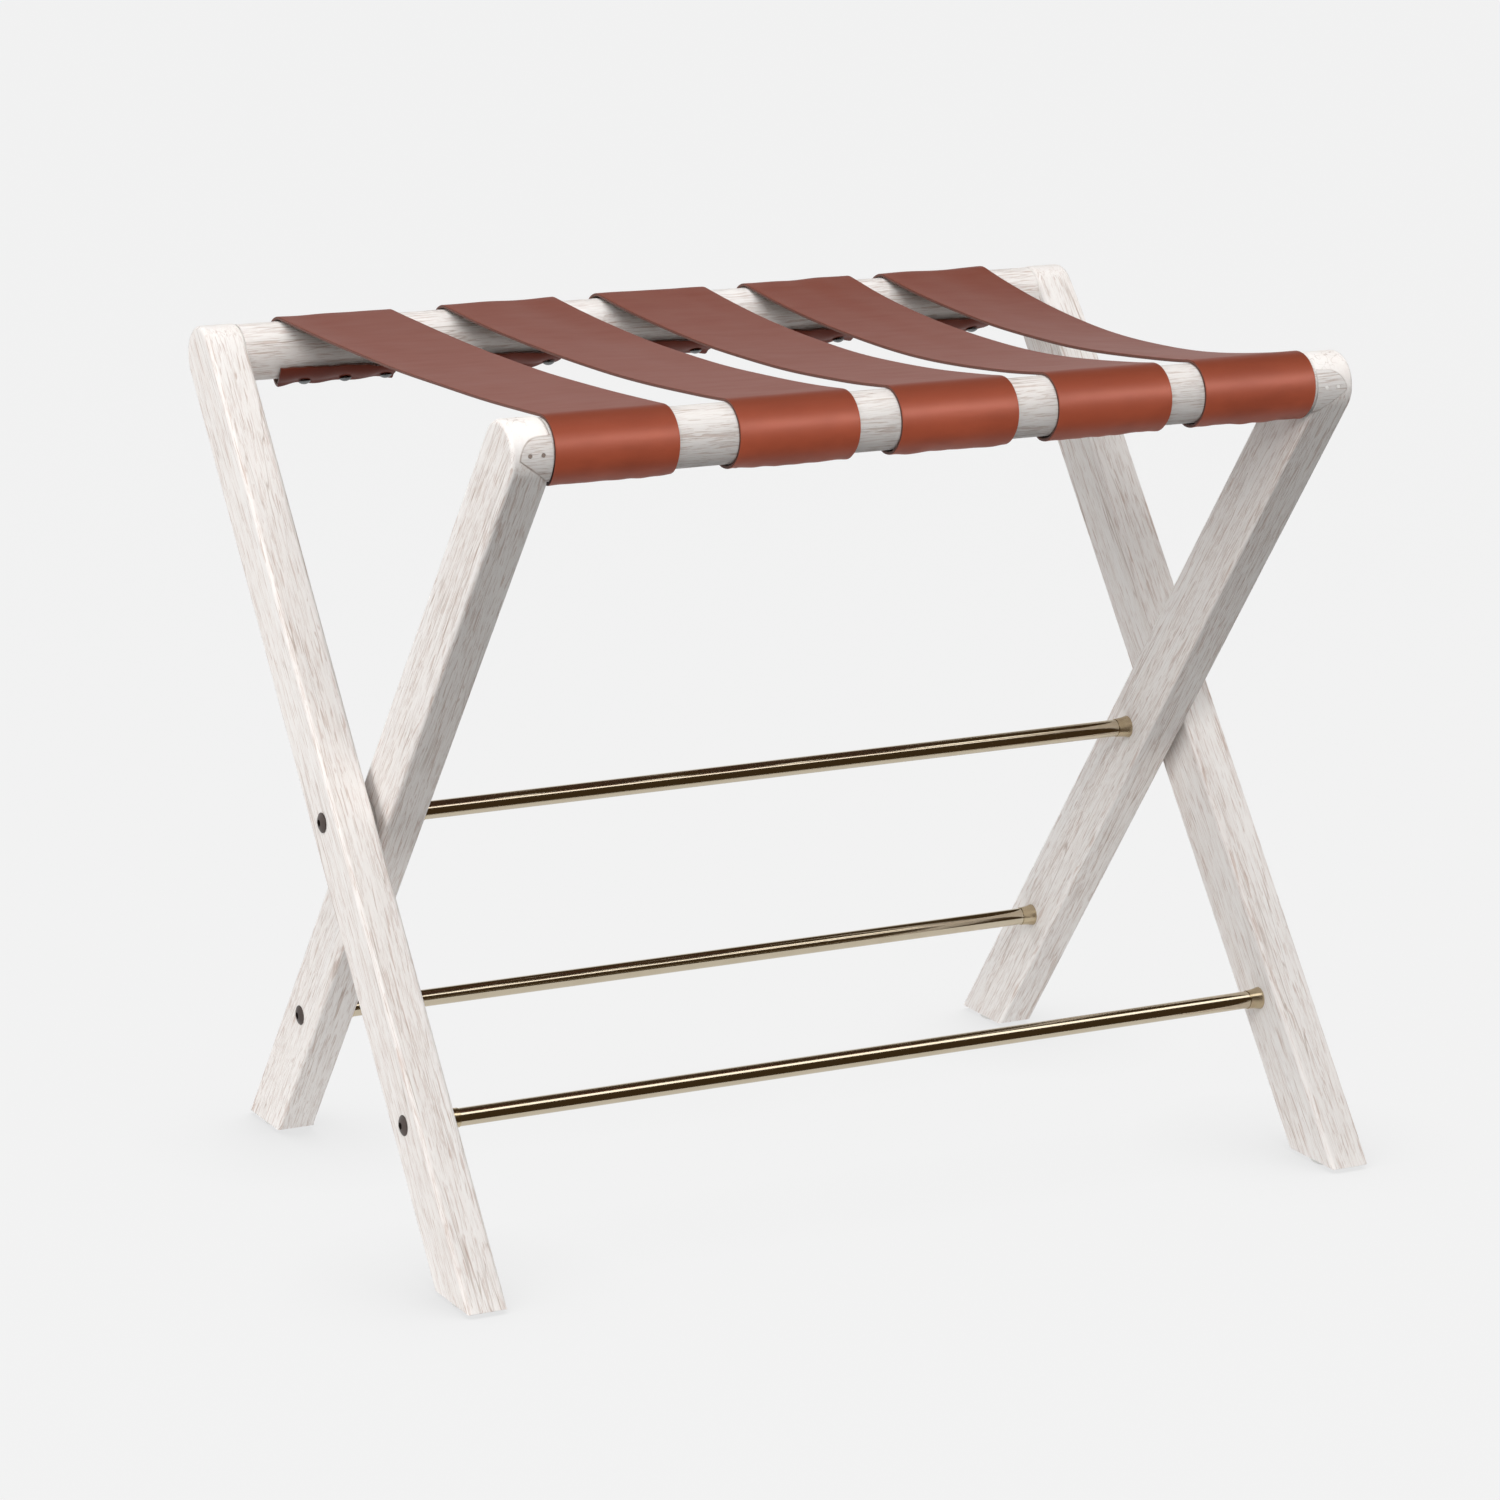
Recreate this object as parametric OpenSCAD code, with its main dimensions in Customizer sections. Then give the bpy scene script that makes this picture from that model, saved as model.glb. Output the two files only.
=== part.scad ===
// Folding luggage rack: two wooden leg frames that cross at a pivot rod, with five
// leather straps nailed across their round top rails.
// X runs along the rails, the front is -Y, and the rack stands open on Z = 0.
// The outer frame leans up and back, and the inner frame leans up and forward.

/* [Overall size] */
// Width over the outer legs
overall_w = 606; // [560:1:700]
// Height of the pivot above the floor
pivot_h = 242; // [225:0.5:260]
// Lean of each leg from upright, with the rack open
lean = 37; // [32:0.5:40]
// Distance along a leg from the pivot to the top rail
leg_up = 312; // [290:1:330]
// Distance along a leg from the pivot down to its lower rod
rod_drop = 191.5; // [180:0.5:220]

/* [Legs] */
// Thickness of a leg, along the rails
leg_t = 25; // [24:1:30]
// Width of a leg, across the rack
leg_w = 39; // [38:0.5:42]
// Gap between an outer leg and the inner leg beside it
leg_gap = 5; // [4:0.5:8]
// Distance from the top rail's axis down to the middle of the leg's round top
cap_drop = 1.5; // [0.5:0.25:1.75]

/* [Top rails] */
// Diameter of a top rail
rail_d = 35; // [32:0.5:35]
// Length of the round-ended tongue that holds a rail in a leg
tongue_l = 20; // [16:1:21]
// Diameter of the tongue's round end
tongue_h = 25; // [18:1:25]
// Slope of the tongue's lower edge, in degrees
tongue_slope = 36; // [20:1:36]
// Distance from the rail's axis out to the floor of the tongue's pocket
tongue_floor = 5; // [3:0.5:8]
// Distance from the rail's axis down to the middle of the round end
tongue_drop = 2.5; // [0:0.5:3]
// Diameter of the pins through a tongue
pin_d = 2.4; // [2:0.2:3]

/* [Rods] */
// Outside diameter of the brass rods
rod_d = 10.8; // [10.6:0.1:12.5]
// Wall thickness of the rods
rod_wall = 1; // [0.8:0.1:1]
// Length of the flared collar at a rod's end
collar_l = 9; // [5:0.5:12]
// Diameter of the collar's wide end
collar_d = 14; // [13.8:0.1:16]

/* [Bolts] */
// Diameter of the bolts in the rod ends
bolt_d = 6; // [5:0.5:7]
// Diameter of a bolt's domed head
head_d = 12.2; // [11:0.2:16]
// Height of a bolt's head
head_h = 2.4; // [2:0.1:2.6]
// Width across the flats of the hexagon socket
socket_w = 4; // [3:0.5:4]
// Length of bolt inside the rod's insert
thread_l = 18; // [12:1:22]

/* [Straps] */
// Width of a strap
strap_w = 76; // [60:1:78]
// Thickness of the leather
strap_t = 2.4; // [1.6:0.2:3]
// Relative sizes of the four gaps between the straps, from left to right
gap_shares = [35, 27, 27, 23]; // [20:1:40]
// Gap between the first strap and the leg on its left
first_gap = 0.8; // [0.5:0.1:4]
// Gap between the last strap and the leg on its right
last_gap = 3.2; // [0.5:0.1:4]
// Sag of the first strap
first_sag = 5; // [3:0.5:12]
// Extra sag of each strap after the first
sag_step = 3; // [0:0.5:4]
// How far below level, in degrees round the rail, a strap's end stops
strap_end = 28; // [15:1:40]

/* [Tacks] */
// Diameter of a tack's domed head
tack_d = 7.5; // [5:0.5:9]
// Distance between neighbouring tacks
tack_pitch = 27; // [20:1:28]
// How far below level, in degrees round the rail, the tacks are
tack_angle = 72; // [60:1:85]

/* [Feet] */
// Diameter of the glides
glide_d = 22; // [14:1:23]
// Thickness of the glides
glide_t = 2.5; // [1:0.5:4]

/* [Hidden] */

wood = "#e9e4dd";
brass = "#b39a5e";
bronze = "#544a46";
leather = "#8f4a34";
steel = "#a8a8ac";
nylon = "#d8d8d6";

// The direction in which a frame leans as it rises: the outer one back, the inner one forward
OUTER = 1;
INNER = -1;
LEFT = -1;
RIGHT = 1;

// Clearance round a bolt, pin or tack in its hole, which is also the pivot's running fit
fit = 0.05;
// Clearance between pieces that move past each other
clear = 0.3;
// How far a cutting shape runs past the face that it cuts
over = 1;
smooth = 96;

rail_r = rail_d / 2;
rail_y = leg_up * sin(lean);
rail_z = pivot_h + leg_up * cos(lean);
rod_r = rod_d / 2;
bolt_r = bolt_d / 2;
outer_face = overall_w / 2 - leg_t;
inner_face = outer_face - leg_gap - leg_t;
foot_y = (pivot_h - glide_t) * tan(lean);

pin_spacing = 8;
pin_first = 6;
pin_depth = 8;
insert_l = 22;
spacer_d = 20;
head_rim = 0.5;
// Depth of a bolt's socket, as a share of its head's height
socket_share = 0.75;
// Width of the flat on top of a bolt's dome, measured down its axis
flat_trim = 0.1;
// Thickness of a collar's thin end, and the number of steps in its flare
collar_lip = 0.4;
flare_steps = 8;
tack_rim = 0.3;
tack_h = 1.8;
tack_shank_r = 1;
tack_grip = 10;
nail_r = 1.2;
nail_l = 14;
glide_edge = 0.5;

straps = 5;
all_shares = gap_shares[0] + gap_shares[1] + gap_shares[2] + gap_shares[3];
gap_w = (2 * inner_face - first_gap - last_gap - straps * strap_w) / all_shares;
strap_in = rail_r + clear;
strap_out = strap_in + strap_t;
arc_steps = 26;
span_steps = 16;

// Distance from the middle of the rack to the inside face of a frame's legs
function face_in(dir) = dir == OUTER ? outer_face : inner_face;

// A point up the leg from the pivot by s, and off its centre line by side
function on_leg(dir, s, side = 0) = [
    dir * s * sin(lean) + side * cos(lean),
    pivot_h + s * cos(lean) - dir * side * sin(lean)
];

// Left edge and middle of a strap, counted from 0 at the left
function strap_left(i) =
    i == 0 ? first_gap - inner_face : strap_left(i - 1) + strap_w + gap_w * gap_shares[i - 1];
function strap_x(i) = strap_left(i) + strap_w / 2;

// Angle at which a strap leaves the top of a rail, for a given sag at its middle
function leave(sag) = atan(2 * sag / rail_y);

// One surface of a strap, at radius r round the back rail and halfway along the span
function half_path(r, sag) =
    let (
        a0 = 180 + strap_end,
        a1 = 450 + leave(sag),
        y1 = rail_y + r * cos(a1),
        z1 = rail_z + r * sin(a1),
        bend = tan(leave(sag)) / (2 * y1)
    )
    concat(
        [
            for (i = [0:arc_steps])
                let (a = a0 + (a1 - a0) * i / arc_steps)
                [rail_y + r * cos(a), rail_z + r * sin(a)]
        ],
        [
            for (i = [1:span_steps])
                let (y = y1 * (1 - i / span_steps))
                [y, z1 - bend * (y1 * y1 - y * y)]
        ]
    );

// The same surface from end to end, mirrored about the middle of the span
function full_path(r, sag) =
    let (half = half_path(r, sag), n = len(half) - 1)
    concat(half, [for (i = [n - 1:-1:0]) [-half[i][0], half[i][1]]]);

function reversed(points) = [for (i = [len(points) - 1:-1:0]) points[i]];

// Draws something made for the right side on either side
module on_side(side) {
    mirror([side == LEFT ? 1 : 0, 0, 0])
        children();
}

module both_sides() {
    for (side = [LEFT, RIGHT])
        on_side(side)
            children();
}

// Extrudes a shape drawn in Y and Z along X
module along_x(x, length) {
    translate([x, 0, 0])
        rotate([90, 0, 90])
            linear_extrude(length)
                children();
}

// A cylinder along X from x, round the point at in Y and Z
module rod_along_x(at, x, length, r) {
    translate([x, at[0], at[1]])
        rotate([0, 90, 0])
            cylinder(r = r, h = length, $fn = smooth);
}

// Side view of a leg, with its foot cut level and its top round
module leg_outline(dir) {
    top = leg_up - cap_drop;
    foot = -dir * foot_y;
    half_foot = leg_w / 2 / cos(lean);
    polygon([
        [foot - half_foot, glide_t],
        [foot + half_foot, glide_t],
        on_leg(dir, top, leg_w / 2),
        on_leg(dir, top, -leg_w / 2)
    ]);
    translate(on_leg(dir, top))
        circle(r = leg_w / 2, $fn = smooth);
}

// Front view of a tongue, from the leg's inside face outwards, and with grow its pocket
module tongue_outline(grow) {
    r = tongue_h / 2 + grow;
    tip = tongue_l + grow;
    intersection() {
        union() {
            translate([tongue_l - tongue_h / 2, 0])
                circle(r = r, $fn = smooth);
            translate([0, -r - over])
                square([tongue_l - tongue_h / 2, 2 * r + over]);
        }
        polygon([[0, r + over], [tip, r + over], [tip, -grow], [0, -grow - tip * tan(tongue_slope)]]);
    }
}

// The bar that a tongue is cut from, on the right side
module tongue_bar(dir, grow) {
    depth = leg_w;
    start = dir == OUTER ? rail_y + tongue_floor - grow : grow - rail_y - tongue_floor - depth;
    translate([face_in(dir), start + depth, rail_z - tongue_drop])
        rotate([90, 0, 0])
            linear_extrude(depth)
                tongue_outline(grow);
}

// Two round bars on the pins' axes, on the right side
module pin_bars(dir, grow) {
    start = rail_y + tongue_floor - pin_depth - grow;
    for (i = [0:1])
        translate([face_in(dir) + pin_first + i * pin_spacing, dir * start, rail_z])
            rotate([-dir * 90, 0, 0])
                cylinder(r = pin_d / 2 + grow, h = leg_w, $fn = smooth);
}

// The part of a shape that lies inside the leg on the right side
module inside_leg(dir) {
    intersection() {
        children();
        along_x(face_in(dir), leg_t)
            leg_outline(dir);
    }
}

// A leg on the right side, with its bores, the tongue's pocket and the glide's nail hole
module leg(dir) {
    face = face_in(dir);
    color(wood)
        difference() {
            along_x(face, leg_t)
                leg_outline(dir);
            rod_along_x([0, pivot_h], face - over, leg_t + 2 * over, bolt_r + fit);
            rod_along_x(on_leg(dir, -rod_drop), face - over, leg_t + 2 * over, bolt_r + fit);
            tongue_bar(dir, fit);
            pin_bars(dir, fit);
            translate([face + leg_t / 2, -dir * foot_y, 0])
                cylinder(r = nail_r + fit, h = glide_t + nail_l + fit, $fn = smooth);
        }
}

// A round top rail with a tongue at each end
module rail(dir) {
    face = face_in(dir);
    color(wood)
        difference() {
            union() {
                rod_along_x([dir * rail_y, rail_z], -face, 2 * face, rail_r);
                both_sides()
                    inside_leg(dir)
                        tongue_bar(dir, 0);
            }
            both_sides()
                pin_bars(dir, fit);
            at_tacks(dir, [0:straps - 1])
                tack_hole(rail_r - tack_grip - fit, fit);
        }
}

module rail_pins(dir) {
    color(steel)
        both_sides()
            inside_leg(dir)
                pin_bars(dir, 0);
}

// A hollow rod between two legs, open at both ends
module hollow_rod(dir, at) {
    face = face_in(dir);
    color(brass)
        difference() {
            rod_along_x(at, -face, 2 * face, rod_r);
            rod_along_x(at, -face - over, 2 * (face + over), rod_r - rod_wall);
        }
}

// The flared collars at the two ends of a rod
module collars(dir, at) {
    slim = rod_r + collar_lip;
    flare = [for (i = [0:flare_steps]) [
        slim + (collar_d / 2 - slim) * pow(i / flare_steps, 2),
        collar_l * i / flare_steps
    ]];
    color(brass)
        both_sides()
            translate([face_in(dir) - collar_l, at[0], at[1]])
                rotate([0, 90, 0])
                    rotate_extrude($fn = smooth)
                        polygon(concat([[rod_r + fit, collar_l], [rod_r + fit, 0]], flare));
}

// The threaded inserts in the two ends of a rod
module inserts(dir, at) {
    face = face_in(dir);
    color(steel)
        both_sides()
            difference() {
                rod_along_x(at, face - insert_l, insert_l, rod_r - rod_wall - fit);
                rod_along_x(at, face - insert_l - over, insert_l + 2 * over, bolt_r + fit);
            }
}

// Two button-head bolts, with their heads at head_x and their ends inside the rod
module bolts(dir, at, head_x) {
    end = face_in(dir) - thread_l;
    dome_h = head_h - head_rim;
    dome_r = (pow(head_d / 2, 2) + pow(dome_h, 2)) / (2 * dome_h);
    socket_depth = head_h * socket_share;
    color(bronze)
        both_sides()
            difference() {
                union() {
                    rod_along_x(at, end, head_x - end, bolt_r);
                    translate([head_x, at[0], at[1]])
                        rotate([0, 90, 0])
                            intersection() {
                                cylinder(r = head_d / 2, h = head_h - flat_trim, $fn = smooth);
                                translate([0, 0, head_h - dome_r])
                                    sphere(r = dome_r, $fn = smooth);
                            }
                }
                translate([head_x + head_h - socket_depth, at[0], at[1]])
                    rotate([0, 90, 0])
                        cylinder(r = socket_w / 2 / cos(30), h = socket_depth, $fn = 6);
            }
}

// The spacers on the pivot bolts, between an outer and an inner leg
module spacers() {
    x = inner_face + leg_t;
    thickness = leg_gap - clear;
    color(nylon)
        both_sides()
            difference() {
                rod_along_x([0, pivot_h], x, thickness, spacer_d / 2);
                rod_along_x([0, pivot_h], x - over, thickness + 2 * over, bolt_r + fit);
            }
}

// A nail-on glide under each foot of a frame
module glides(dir) {
    color(nylon)
        both_sides()
            translate([face_in(dir) + leg_t / 2, -dir * foot_y, 0]) {
                cylinder(r1 = glide_d / 2 - glide_edge, r2 = glide_d / 2, h = glide_edge, $fn = smooth);
                translate([0, 0, glide_edge])
                    cylinder(r = glide_d / 2, h = glide_t - glide_edge, $fn = smooth);
                cylinder(r = nail_r, h = glide_t + nail_l, $fn = smooth);
            }
}

// Puts something at the tacks of the straps listed, with +Z pointing away from the rail
module at_tacks(dir, which) {
    for (i = which)
        for (j = [-1:1])
            translate([strap_x(i) + j * tack_pitch, dir * rail_y, rail_z])
                rotate([dir * (90 + tack_angle), 0, 0])
                    children();
}

// A hole for a tack's shank, from the distance start outwards
module tack_hole(start, gap) {
    translate([0, 0, start])
        cylinder(r = tack_shank_r + gap, h = strap_out + over - start, $fn = smooth);
}

// The domed tacks that hold the strap ends under a rail
module tacks(dir) {
    seat = strap_out + clear;
    dome_h = tack_h - tack_rim;
    dome_r = (pow(tack_d / 2, 2) + pow(dome_h, 2)) / (2 * dome_h);
    color(bronze)
        at_tacks(dir, [0:straps - 1]) {
            translate([0, 0, rail_r - tack_grip])
                cylinder(r = tack_shank_r, h = seat - rail_r + tack_grip, $fn = smooth);
            translate([0, 0, seat])
                intersection() {
                    cylinder(r = tack_d / 2, h = tack_h + over, $fn = smooth);
                    translate([0, 0, tack_h - dome_r])
                        sphere(r = dome_r, $fn = smooth);
                }
        }
}

// A leather strap, counted from 0 at the left, wrapped round both rails
module strap(i) {
    sag = first_sag + i * sag_step;
    color(leather)
        difference() {
            along_x(strap_x(i) - strap_w / 2, strap_w)
                polygon(concat(full_path(strap_in, sag), reversed(full_path(strap_out, sag))));
            at_tacks(OUTER, [i])
                tack_hole(rail_r, clear);
            at_tacks(INNER, [i])
                tack_hole(rail_r, clear);
        }
}

outer_rod_at = on_leg(OUTER, -rod_drop);
inner_rod_at = on_leg(INNER, -rod_drop);
pivot_at = [0, pivot_h];

on_side(LEFT) leg(OUTER);  // outer_leg_left
on_side(RIGHT) leg(OUTER);  // outer_leg_right
rail(OUTER);  // back_rail
rail_pins(OUTER);  // back_rail_pins
hollow_rod(OUTER, outer_rod_at);  // outer_lower_rod
collars(OUTER, outer_rod_at);  // outer_rod_collars
inserts(OUTER, outer_rod_at);  // outer_rod_inserts
bolts(OUTER, outer_rod_at, outer_face + leg_t);  // outer_rod_bolts
glides(OUTER);  // outer_foot_glides
tacks(OUTER);  // back_strap_tacks
strap(0);  // strap_1
strap(1);  // strap_2
strap(2);  // strap_3
strap(3);  // strap_4
strap(4);  // strap_5
on_side(LEFT) leg(INNER);  // inner_leg_left
on_side(RIGHT) leg(INNER);  // inner_leg_right
rail(INNER);  // front_rail
rail_pins(INNER);  // front_rail_pins
hollow_rod(INNER, inner_rod_at);  // inner_lower_rod
collars(INNER, inner_rod_at);  // inner_rod_collars
inserts(INNER, inner_rod_at);  // inner_rod_inserts
bolts(INNER, inner_rod_at, inner_face + leg_t);  // inner_rod_bolts
glides(INNER);  // inner_foot_glides
tacks(INNER);  // front_strap_tacks
hollow_rod(INNER, pivot_at);  // pivot_rod
collars(INNER, pivot_at);  // pivot_rod_collars
inserts(INNER, pivot_at);  // pivot_rod_inserts
bolts(INNER, pivot_at, outer_face + leg_t + clear);  // pivot_bolts
spacers();  // pivot_spacers
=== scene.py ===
import math

import bpy
import numpy as np
from mathutils import Matrix, Vector, noise


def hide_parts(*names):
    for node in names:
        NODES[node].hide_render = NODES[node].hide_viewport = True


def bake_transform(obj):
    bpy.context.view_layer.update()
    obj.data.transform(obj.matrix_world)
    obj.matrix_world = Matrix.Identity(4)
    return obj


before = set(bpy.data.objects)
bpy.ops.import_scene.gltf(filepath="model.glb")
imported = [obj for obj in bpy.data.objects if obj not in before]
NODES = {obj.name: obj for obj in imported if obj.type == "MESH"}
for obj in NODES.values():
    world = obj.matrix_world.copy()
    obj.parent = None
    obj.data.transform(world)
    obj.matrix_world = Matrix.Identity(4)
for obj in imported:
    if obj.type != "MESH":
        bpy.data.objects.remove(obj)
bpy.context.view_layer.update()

MM = 0.001
LEAN = math.radians(37)
PIVOT_Z = 242.0
# From the pivot up a leg to its rail
RAIL_UP = 312
RAIL_Y = RAIL_UP * math.sin(LEAN)
RAIL_Z = PIVOT_Z + RAIL_UP * math.cos(LEAN)
RAIL_R = 17.5
# Where the inside faces of the two pairs of legs are in X
OUTER_FACE = 278.0
INNER_FACE = 248.0
# The tongue at each end of a rail
TONGUE_L = 20.0
TONGUE_R = 12.5
TONGUE_DROP = 2.5
TONGUE_FLOOR = 5.0
TONGUE_SLOPE = math.radians(36)


# ---------------------------------------------------------------- node helpers
class Shader:
    """A node tree with short ways to add and join nodes."""

    def __init__(self, name):
        self.mat = bpy.data.materials.new(name)
        self.mat.use_nodes = True
        self.nt = self.mat.node_tree
        self.nt.nodes.clear()
        self.out = self.nt.nodes.new("ShaderNodeOutputMaterial")
        self.coord = self.nt.nodes.new("ShaderNodeTexCoord").outputs["Object"]

    def add(self, kind, props=None, **inputs):
        n = self.nt.nodes.new(kind)
        for k, v in (props or {}).items():
            setattr(n, k, v)
        for k, v in inputs.items():
            self.put(n.inputs[k.replace("_", " ")], v)
        return n

    def put(self, socket, value):
        if isinstance(value, bpy.types.NodeSocket):
            self.nt.links.new(value, socket)
        else:
            socket.default_value = value

    def mapping(self, vector, scale=(1, 1, 1), rotation=(0, 0, 0), location=(0, 0, 0)):
        place = dict(Scale=scale, Rotation=rotation, Location=location)
        return self.add("ShaderNodeMapping", Vector=vector, **place).outputs[0]

    def noise(self, vector, scale, detail=2.0, rough=0.5, distort=0.0):
        kind = dict(Scale=scale, Detail=detail, Roughness=rough, Distortion=distort)
        return self.add("ShaderNodeTexNoise", Vector=vector, **kind).outputs["Fac"]

    def streaks(self, vector, scale, detail=2.0, rough=0.5, distort=0.0):
        """Noise with a scale for each axis."""
        return self.noise(self.mapping(vector, scale=scale), 1.0, detail, rough, distort)

    def ramp(self, fac, *stops):
        """A value through a ramp of (position, grey or colour) stops."""
        n = self.add("ShaderNodeValToRGB", Fac=fac)
        e = n.color_ramp.elements
        while len(e) < len(stops):
            e.new(0.5)
        for i, (p, c) in enumerate(stops):
            e[i].position = p
            e[i].color = (c, c, c, 1) if not hasattr(c, "__len__") else (*c, 1)
        return n.outputs[0]

    def math(self, op, a, b=0.0, clamp=False):
        n = self.nt.nodes.new("ShaderNodeMath")
        n.operation = op
        n.use_clamp = clamp
        self.put(n.inputs[0], a)
        self.put(n.inputs[1], b)
        return n.outputs[0]

    def times(self, a, *others):
        for b in others:
            a = self.math("MULTIPLY", a, b)
        return a

    def straight(self, value, slope, start):
        """start + slope * value."""
        n = self.math("MULTIPLY_ADD", value, slope).node
        n.inputs[2].default_value = start
        return n.outputs[0]

    def mix(self, fac, a, b):
        n = self.nt.nodes.new("ShaderNodeMix")
        n.data_type = "RGBA"
        n.clamp_factor = True
        self.put(n.inputs[0], fac)
        self.put(n.inputs[6], a if isinstance(a, bpy.types.NodeSocket) else (*a, 1))
        self.put(n.inputs[7], b if isinstance(b, bpy.types.NodeSocket) else (*b, 1))
        return n.outputs[2]

    def bump(self, height, distance, strength=1.0, normal=None):
        n = self.add("ShaderNodeBump", Height=height, Distance=distance, Strength=strength)
        if normal is not None:
            self.put(n.inputs["Normal"], normal)
        return n.outputs[0]

    def principled(self, **inputs):
        n = self.nt.nodes.new("ShaderNodeBsdfPrincipled")
        for k, v in inputs.items():
            k = k.replace("_", " ")
            if k == "Base Color" and not isinstance(v, bpy.types.NodeSocket):
                v = (*v, 1)
            self.put(n.inputs[k], v)
        self.nt.links.new(n.outputs[0], self.out.inputs[0])
        return self.mat


# ---------------------------------------------------------------- materials
WOOD_PALE = (0.87, 0.856, 0.840)
WOOD_WARM = (0.815, 0.773, 0.737)
# The leather's own colour, and darker colours painted on it as shade: on its upper faces, and deepest under
# the back rail
LEATHER_UNSHADED = (0.49, 0.103, 0.049)
LEATHER_PAINTED_SHADE = (0.17, 0.036, 0.017)
LEATHER_DEEP_PAINTED_SHADE = (0.10, 0.013, 0.008)
LEATHER_ROUGH = 0.44
# The scale of a metal's fine wear along each axis
FINE = (900, 900, 900)


def tongue_seam(s, face):
    """The thin glue line round a rail's tongue where it shows on a leg whose inner face is at this X."""
    to_mm = (1 / MM, 1 / MM, 1 / MM)
    where = s.add("ShaderNodeSeparateXYZ", Vector=s.mapping(s.coord, scale=to_mm)).outputs
    out = s.math("SUBTRACT", s.math("ABSOLUTE", where[0]), face)
    up = s.math("SUBTRACT", where[2], RAIL_Z - TONGUE_DROP)
    past = s.math("MAXIMUM", s.math("SUBTRACT", out, TONGUE_L - TONGUE_R), 0.0)
    reach = s.math("SQRT", s.math("ADD", s.times(past, past), s.times(up, up)))
    round_end = s.math("SUBTRACT", reach, TONGUE_R)
    slope = s.times(s.math("SUBTRACT", out, TONGUE_L), math.sin(TONGUE_SLOPE))
    slope = s.math("SUBTRACT", slope, s.times(up, math.cos(TONGUE_SLOPE)))
    off_seam = s.math("ABSOLUTE", s.math("MAXIMUM", round_end, slope))
    seam = s.ramp(off_seam, (0.30, 1.0), (0.62, 0.0))
    in_leg = s.math("GREATER_THAN", out, 0.0)
    outward = s.math("GREATER_THAN", s.math("ABSOLUTE", where[1]), RAIL_Y + TONGUE_FLOOR)
    painted = s.ramp(s.noise(s.coord, 70.0, 2.0), (0.40, 0.35), (0.60, 1.0))
    # the right-hand legs' seams are filled with lime
    painted = s.times(painted, s.ramp(where[0], (0.0, 1.0), (1.0, 0.3)))
    return s.times(s.times(seam, painted), s.times(in_leg, outward))


def wood(name, rotation, shift, face, painted_shade_share=0.0):
    """White-limed open-grain wood, with its grain along Z after the rotation."""
    s = Shader(name)
    p = s.mapping(s.coord, rotation=rotation, location=shift)
    grow = s.streaks(p, (70, 70, 3), 2.0, 0.5, 0.4)
    bands = s.ramp(s.streaks(p, (210, 120, 4), 2.0, 0.6, 0.5), (0.38, 0.0), (0.62, 1.0))
    pores = s.ramp(s.streaks(p, (1350, 1350, 85), 2.0, 0.6, 0.5), (0.52, 0.0), (0.62, 1.0))
    ticks = s.ramp(s.streaks(p, (880, 880, 46), 1.5, 0.5, 0.8), (0.60, 0.0), (0.66, 1.0))
    fibre = s.streaks(p, (1700, 1700, 90), 1.0, 0.5)
    # long lines, where a broad noise crosses its middle value
    middle = s.math("SUBTRACT", s.streaks(p, (130, 130, 5), 1.5, 0.5, 0.7), 0.5)
    lines = s.ramp(s.math("ABSOLUTE", middle), (0.0, 1.0), (0.014, 0.0))
    some = s.ramp(s.streaks(p, (50, 50, 12)), (0.46, 0.0), (0.60, 1.0))
    lines = s.times(lines, some)
    density = s.straight(bands, 0.65, 0.35)
    # seen end on, as on the round top of a leg, the grain hardly shows
    facing = s.mapping(s.add("ShaderNodeTexCoord").outputs["Normal"], rotation=rotation)
    end_on = s.math("ABSOLUTE", s.add("ShaderNodeSeparateXYZ", Vector=facing).outputs[2])
    shown = s.ramp(end_on, (0.25, 1.0), (0.70, 0.12))
    pores = s.times(pores, density, shown)
    ticks = s.times(ticks, shown)
    colour = s.mix(grow, WOOD_PALE, WOOD_WARM)
    for mask, share, stain in (
        (bands, 0.14, (0.70, 0.60, 0.55)),
        (fibre, 0.12, (0.52, 0.42, 0.37)),
        (pores, 0.41, (0.47, 0.33, 0.27)),
        (ticks, 0.45, (0.43, 0.28, 0.22)),
        (lines, 0.60, (0.33, 0.23, 0.18)),
        (tongue_seam(s, face), 0.55, (0.26, 0.15, 0.10)),
    ):
        colour = s.mix(s.times(mask, share), colour, stain)
    # painted shade: the whole piece is darkened by this share
    colour = s.mix(painted_shade_share, colour, (0.0, 0.0, 0.0))
    deep = s.math("MAXIMUM", pores, s.math("MAXIMUM", lines, ticks))
    height = s.math("SUBTRACT", s.times(fibre, 0.15), deep)
    return s.principled(
        Base_Color=colour,
        Roughness=s.straight(deep, 0.2, 0.55),
        Normal=s.bump(height, 0.00022, 0.7),
        IOR=1.45,
        Specular_IOR_Level=0.3,
    )


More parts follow.
